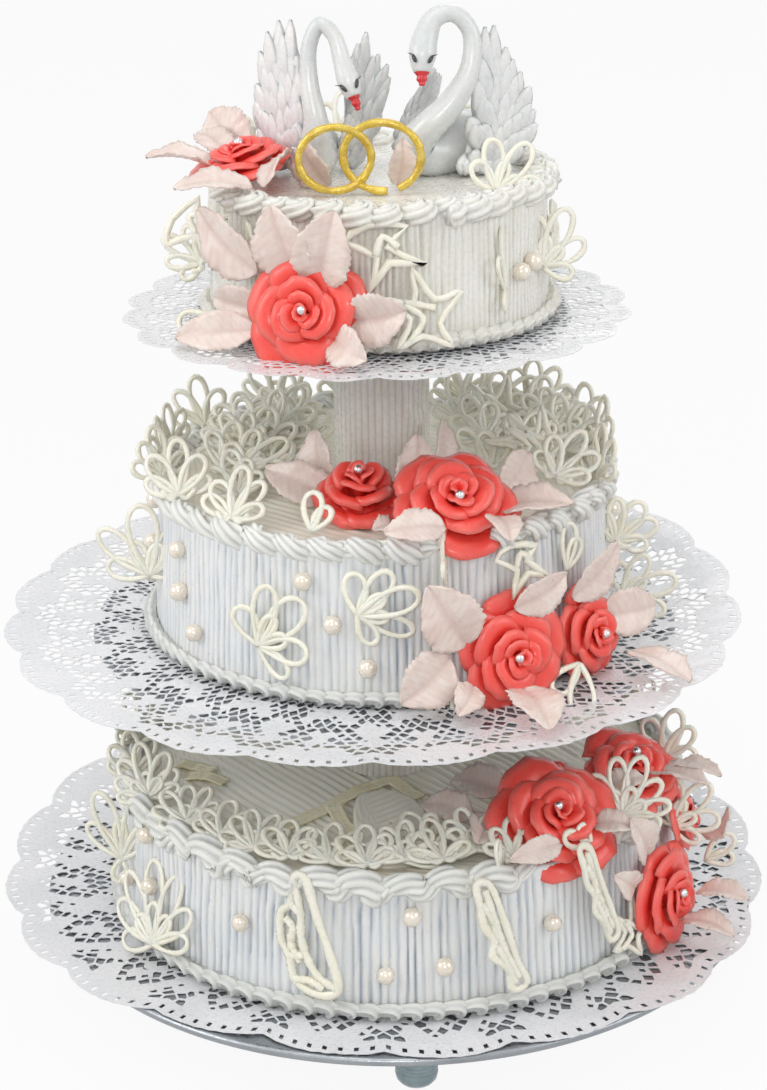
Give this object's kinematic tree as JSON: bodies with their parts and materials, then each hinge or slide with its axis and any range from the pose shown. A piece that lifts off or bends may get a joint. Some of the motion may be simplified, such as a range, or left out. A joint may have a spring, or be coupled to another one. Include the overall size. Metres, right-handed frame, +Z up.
{
  "type": "tiered wedding cake",
  "caption": "Tiered round wedding cake on a column stand with doilies, iced sides, piped borders, sugar roses, leaves, filigree, pearls, entwined rings and long-necked birds on top.",
  "frame": {"origin": "in the middle of the footprint, at the height of the surface the feet stand on", "axes": "+Z up, -Y towards the decorated front, +X to the right seen from the front"},
  "size_m": [0.4638, 0.4698, 0.5762],
  "materials": {
    "icing": "pearly white buttercream, combed and piped",
    "bird_sugar": "smooth white sugar with a pearl lustre",
    "white_chocolate": "ivory white chocolate",
    "rose_icing": "coral red piped cream with a pearly sheen",
    "leaf_sugar": "pale pink pearlescent sugar leaf",
    "gold_icing": "piped rings painted gold",
    "paper": "white embossed paper lace",
    "steel": "satin grey metal"
  },
  "bodies": {
    "root": {"bird_left": "bird_sugar", "bird_right": "bird_sugar", "cake_bottom": "icing", "cake_middle": "icing", "cake_top": "icing", "column_lower": "icing", "column_upper": "icing", "cream_panel": "icing", "doily_base": "paper", "doily_middle": "paper", "doily_top": "paper", "foot_1": "steel", "foot_2": "steel", "foot_3": "steel", "leaf_base_1": "leaf_sugar", "leaf_base_2": "leaf_sugar", "leaf_base_3": "leaf_sugar", "leaf_base_4": "leaf_sugar", "leaf_mid_1": "leaf_sugar", "leaf_mid_10": "leaf_sugar", "leaf_mid_2": "leaf_sugar", "leaf_mid_3": "leaf_sugar", "leaf_mid_4": "leaf_sugar", "leaf_mid_5": "leaf_sugar", "leaf_mid_6": "leaf_sugar", "leaf_mid_7": "leaf_sugar", "leaf_mid_8": "leaf_sugar", "leaf_mid_9": "leaf_sugar", "leaf_top_1": "leaf_sugar", "leaf_top_2": "leaf_sugar", "leaf_top_3": "leaf_sugar", "leaf_top_4": "leaf_sugar", "leaf_top_5": "leaf_sugar", "leaf_top_6": "leaf_sugar", "leaf_top_7": "leaf_sugar", "leaf_top_8": "leaf_sugar", "plate_base": "steel", "plate_middle": "steel", "plate_top": "steel", "ribbon_band_1": "white_chocolate", "ribbon_band_2": "white_chocolate", "ribbon_curved": "white_chocolate", "ribbon_straight": "white_chocolate", "rings": "gold_icing", "rose_base_back": "rose_icing", "rose_base_big": "rose_icing", "rose_base_bud": "rose_icing", "rose_base_hidden": "rose_icing", "rose_base_side": "rose_icing", "rose_mid_big": "rose_icing", "rose_mid_bud": "rose_icing", "rose_mid_edge": "rose_icing", "rose_mid_side": "rose_icing", "rose_top_front": "rose_icing", "rose_top_left": "rose_icing", "wing_left_inner": "bird_sugar", "wing_left_outer": "bird_sugar", "wing_right_inner": "bird_sugar", "wing_right_outer": "bird_sugar"}
  },
  "joints": []
}
